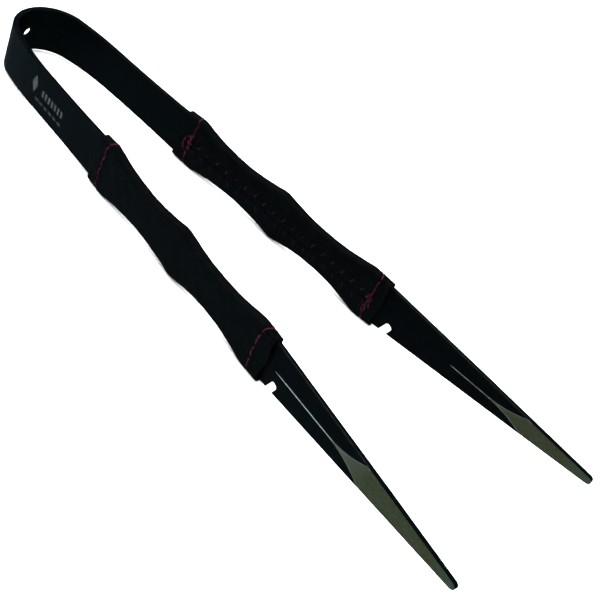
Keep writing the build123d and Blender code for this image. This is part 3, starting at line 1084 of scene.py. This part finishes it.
def worn_and_highlit_edge():
    """The coating on the strip's corners, worn thin and lighter in patches with painted highlight, most of
    all along the blades.
    """
    material, tree, shader, colour = coated_steel("worn_and_highlit_edge")
    # Worn coating and painted highlight along the corners.
    rubbed_and_highlit = ramp(tree, noise(tree, (1.1, 9.0), 4.0, 6.0, 0.7), WORN_HIGHLIT_DARK, WORN_HIGHLIT_LIGHT, 0.36, 0.62)
    on_blade = along(tree, BLADE_START - 4, BLADE_START + 2, 0.12, 1.0)
    set_inputs(shader, {"Base Color": mixed(tree, on_blade, colour, rubbed_and_highlit)})
    return material


def mark_row(tree, u, v, first_x, last_x, height, half, pitch, share):
    """A mask for a row of marks between two places, at a height on the strip."""
    first, last = distance_at(first_x) / CM, distance_at(last_x) / CM
    within = maths(tree, "COMPARE", u, (first + last) / 2, (last - first) / 2)
    level = maths(tree, "COMPARE", v, height / CM, half / CM)
    beat = maths(tree, "FRACT", maths(tree, "DIVIDE", maths(tree, "SUBTRACT", u, first), pitch / CM))
    inked = maths(tree, "LESS_THAN", beat, share)
    return maths(tree, "MULTIPLY", maths(tree, "MULTIPLY", within, level), inked)


def lozenge(tree, u, v, x, height, half_length, half_height):
    """A mask for a lozenge on the strip."""
    offs = []
    for value, middle, half in ((u, distance_at(x), half_length), (v, height, half_height)):
        off = maths(tree, "ABSOLUTE", maths(tree, "SUBTRACT", value, middle / CM))
        offs.append(maths(tree, "DIVIDE", off, half / CM))
    return maths(tree, "LESS_THAN", maths(tree, "ADD", *offs), 1.0)


def printed_coat():
    """The coating with a plain printed ornament: a lozenge, a row of ticks and a row of dashes."""
    material, tree, shader, colour = coated_steel("printed_coat")
    parts = parts_of(tree)
    u, v = parts["X"], parts["Y"]
    bold = maths(tree, "MAXIMUM", lozenge(tree, u, v, *LOZENGE), mark_row(tree, u, v, *TICKS))
    mask = maths(tree, "MAXIMUM", bold, maths(tree, "MULTIPLY", mark_row(tree, u, v, *DASHES), DASH_INK))
    ink = ramp(tree, noise(tree, PLAIN, 9.0), INK_DARK, INK_LIGHT)
    set_inputs(shader, {"Base Color": mixed(tree, mask, colour, ink)})
    return material


def ground_steel():
    """Satin steel ground along its length, olive grey and mottled, made lighter at its start and tip by
    painted highlight.
    """
    material, tree, shader = new_material("ground_steel")
    strokes = noise(tree, (0.9, 34.0), 3.0, 8.0, 0.7)
    mottle = ramp(tree, noise(tree, (2.2, 4.0), 3.5, 5.0), 0.78, 1.16, 0.3, 0.7)
    colour = ramp(tree, strokes, GROUND_DARK, GROUND_LIGHT, 0.3, 0.7)
    colour = mixed(tree, 1.0, colour, mottle, "MULTIPLY")
    # Painted highlight: lighter where the flats start, and again near the tip.
    start_highlight = along(tree, OUTER_FLAT[0] - 2, OUTER_FLAT[1] + 2, 1.0, 0.0)
    colour = mixed(tree, start_highlight, colour, GROUND_START_HIGHLIGHT)
    colour = mixed(tree, along(tree, TIP_X - 14, TIP_X - 2, 0.0, 0.8), colour, GROUND_TIP_HIGHLIGHT)
    satin = ramp(tree, strokes, 0.32, 0.46)
    set_inputs(shader, {"Base Color": colour, "Metallic": 0.985, "Roughness": satin})
    bump(tree, shader, strokes, 0.25, 0.00003)
    return material


def bare_line_with_highlight():
    """Bare steel where the ridge has been dressed, and round the flats, made pale by painted highlight."""
    material, tree, shader = new_material("bare_line_with_highlight")
    line_end = (OUTER_FLAT[0] - 3, OUTER_FLAT[0] + 2)
    wear = noise(tree, (2.0, 30.0), 4.0)
    colour = ramp(tree, wear, LINE_DARK, LINE_LIGHT, 0.3, 0.6)
    # Painted highlight: pale bare steel, taking the rims' colour where the flats start.
    set_inputs(shader, {
        "Base Color": mixed(tree, along(tree, *line_end, 0.0, 1.0), colour, RIM_COLOUR_AND_HIGHLIGHT),
        "Metallic": along(tree, *line_end, 0.8, 0.95),
        "Roughness": ramp(tree, wear, 0.3, 0.5),
    })
    return material


def black_leather():
    """Smooth black leather with a fine grain and a few pores and creases."""
    material, tree, shader = new_material("black_leather")
    fine = noise(tree, PLAIN, 60.0, 5.0)
    set_inputs(shader, {
        "Base Color": ramp(tree, noise(tree, PLAIN, 1.6), LEATHER_DARK, LEATHER_LIGHT),
        "Roughness": ramp(tree, fine, 0.46, 0.62),
        "Specular IOR Level": DULL,
    })
    cell_inputs = {"Vector": stretched_uv(tree, (1.0, 0.85)), "Scale": 26.0, "Randomness": 0.95}
    cells = node(tree, "ShaderNodeTexVoronoi", cell_inputs, feature="DISTANCE_TO_EDGE")
    skin = ramp(tree, cells.outputs["Distance"], 0.0, 1.0, 0.0, 0.12)
    below = bump(tree, shader, fine, 0.25, 0.00004)
    bump(tree, shader, skin, 0.35, 0.00004, below)
    return material


def waxed_thread(name, dark, light, below=None):
    """Waxed thread with fibres, patchy, its lighter patches painted highlight. It may be darker below the
    seam, as painted shade.
    """
    material, tree, shader = new_material(name)
    # Patches of painted highlight over the thread's red.
    colour = ramp(tree, noise(tree, PLAIN, 8.0), dark, light, 0.4, 0.6)
    # Painted shade: the thread is darker below the seam.
    if below is not None:
        v = parts_of(tree)["Y"]
        colour = mixed(tree, maths(tree, "LESS_THAN", v, SEAM_Z / CM), colour, below)
    set_inputs(shader, {"Base Color": colour, "Roughness": 0.62, "Specular IOR Level": DULL})
    bump(tree, shader, noise(tree, (30.0, 60.0), 3.0), 0.3, 0.00005)
    return material


# Surroundings

FLOOR_REACH = 0.8
BACKDROP_RADIUS = 6.0

# The world's brightness by direction, as (from, to, brightness at from, brightness at to): first by
# x, and then what the height adds. Behind the left arm a patch about one x is lighter, by y.
BY_X = (-0.8, -0.25, 0.155, 0.065)
BY_HEIGHT = (0.1, 0.5, 0.0, -0.055)
PATCH_X = -0.44
PATCH_LIGHT = 0.13
PATCH_SHADE = -0.04
PATCH_Y = (0.25, 0.6)
DARKEST = 0.01
WORLD_TINT = (0.64, 1.0, 1.25)

# Lights as (name, place from the object's middle, size, power).
LIGHTS = (
    ("overhead", (-0.45, 0.1, 1.3), 1.5, 72.0),
    ("front", (0.7, -0.9, 1.1), 1.2, 34.0),
    ("back", (0.3, 1.2, 1.0), 1.2, 25.0),
)

# Camera: its azimuth and elevation from the object, its roll, and what it looks at, in the row frame.
CAMERA_ANGLES = (27.712, 40.048, 26.413)
CAMERA_DISTANCE = 0.45914
CAMERA_TARGET = (0.027529, 0.000965)
CAMERA_LENS = 75.282


def surroundings(name, mesh, material):
    """An object of the stage, which glossy reflections do not see."""
    mesh.materials.append(material)
    made = new_object(name, mesh)
    made.visible_glossy = False
    return made


def make_floor():
    """A pale floor as wide as the light reaches."""
    material, tree, shader = new_material("pale_floor")
    set_inputs(shader, {"Base Color": rgba(0.9), "Roughness": 0.9, "Specular IOR Level": 0.0})
    corners = [(x * FLOOR_REACH, y * FLOOR_REACH, 0) for x, y in ((-1, -1), (1, -1), (1, 1), (-1, 1))]
    mesh = bpy.data.meshes.new("floor")
    mesh.from_pydata(corners, [], [(0, 1, 2, 3)])
    floor = surroundings("floor", mesh, material)
    floor.location.z = CAD_BOX[0].z


def make_backdrop():
    """A pale backdrop that only the camera sees."""
    material = bpy.data.materials.new("pale_backdrop")
    material.use_nodes = True
    tree = material.node_tree
    tree.nodes.clear()
    glow = node(tree, "ShaderNodeEmission", {"Color": rgba(1.0), "Strength": 1.0})
    node(tree, "ShaderNodeOutputMaterial", {"Surface": glow.outputs[0]})
    sphere = bmesh.new()
    bmesh.ops.create_uvsphere(sphere, u_segments=48, v_segments=24, radius=BACKDROP_RADIUS)
    mesh = bpy.data.meshes.new("backdrop")
    sphere.to_mesh(mesh)
    sphere.free()
    backdrop = surroundings("backdrop", mesh, material)
    backdrop.visible_diffuse = False
    backdrop.visible_shadow = False


def make_world():
    """Dim surroundings: lighter beyond the crown and behind the left arm, darkest straight above."""
    world = bpy.data.worlds.new("studio")
    bpy.context.scene.world = world
    world.use_nodes = True
    tree = world.node_tree
    parts = parts_of(tree, node(tree, "ShaderNodeTexCoord").outputs["Generated"])
    off_patch = maths(tree, "ABSOLUTE", maths(tree, "SUBTRACT", parts["X"], PATCH_X))
    patch = maths(tree, "MAXIMUM", maths(tree, "SUBTRACT", PATCH_LIGHT, off_patch), PATCH_SHADE)
    by_y = ranged(tree, parts["Y"], *PATCH_Y, 0.0, patch)
    level = maths(tree, "ADD", ranged(tree, parts["X"], *BY_X), by_y)
    level = maths(tree, "ADD", level, ranged(tree, parts["Z"], *BY_HEIGHT))
    level = maths(tree, "MAXIMUM", level, DARKEST)
    tinted = mixed(tree, 1.0, level, WORLD_TINT, "MULTIPLY")
    set_inputs(tree.nodes["Background"], {"Color": tinted, "Strength": 1.0})


def soft_light(name, place, target, size, power):
    """A square area light at a place in metres, aimed at a target. It gives no glossy reflection."""
    data = bpy.data.lights.new(name, "AREA")
    data.shape = "SQUARE"
    data.size = size
    data.energy = power
    light = new_object(name, data)
    light.location = place
    light.rotation_mode = "QUATERNION"
    light.rotation_quaternion = (target - place).to_track_quat("-Z", "Y")
    light.visible_glossy = False


def make_lights():
    """The soft lights, all aimed at the middle of the object."""
    middle = (CAD_BOX[0] + CAD_BOX[1]) / 2
    for name, offset, size, power in LIGHTS:
        soft_light(name, middle + Vector(offset), middle, size, power)


def make_camera():
    """The camera, which looks at the object as the photo does."""
    azimuth, elevation, roll = (math.radians(a) for a in CAMERA_ANGLES)
    turn = Matrix.Rotation(azimuth, 4, "Z") @ Matrix.Rotation(math.pi / 2 - elevation, 4, "X")
    turn = turn @ Matrix.Rotation(roll, 4, "Z")
    data = bpy.data.cameras.new("camera")
    data.lens = CAMERA_LENS
    data.sensor_width = 36.0
    data.clip_start = 0.01
    camera = new_object("camera", data)
    target = Matrix.Translation((*CAMERA_TARGET, MID_Z * MM))
    camera.matrix_world = target @ turn @ Matrix.Translation((0, 0, CAMERA_DISTANCE))
    bpy.context.scene.camera = camera


def tell_sheet():
    """Works out the distance round the sleeve along its length, and does nothing with it."""
    round_it = girth(np.linspace(SLEEVE_START, SLEEVE_END, 200)) * MM


def main():
    make_camera()
    make_floor()
    make_backdrop()
    make_world()
    make_lights()
    bpy.context.scene.view_settings.view_transform = "Standard"

    steel = [coated_steel()[0], ground_steel(), bare_line_with_highlight(), worn_and_highlit_edge(), printed_coat()]
    leather = black_leather()
    bright = waxed_thread("red_thread", RED_DARK, RED_LIGHT)
    # The lacing gets a copy of the red thread with painted shade.
    shaded = waxed_thread("painted_shade_red_thread", SHADED_RED_DARK, SHADED_RED_LIGHT, SHADED_RED_BELOW)
    upper = wrap_path(UPPER_OUTER_HOLES, UPPER_ABOVE_KNOT, UPPER_BELOW_KNOT)
    lower = wrap_path(LOWER_OUTER_HOLES, LOWER_ABOVE_KNOT, LOWER_BELOW_KNOT)
    lacing = lacing_path()
    make_crown(steel)
    for name, side in (("left", 1), ("right", -1)):
        strip = make_arm_strip(name, side, steel)
        sleeve = make_sleeve(name, side, leather, upper + lower + lacing, lacing_pulls())
        threads = make_threads(name, side, upper, lower, lacing, bright, shaded)
        tell_sheet()


main()
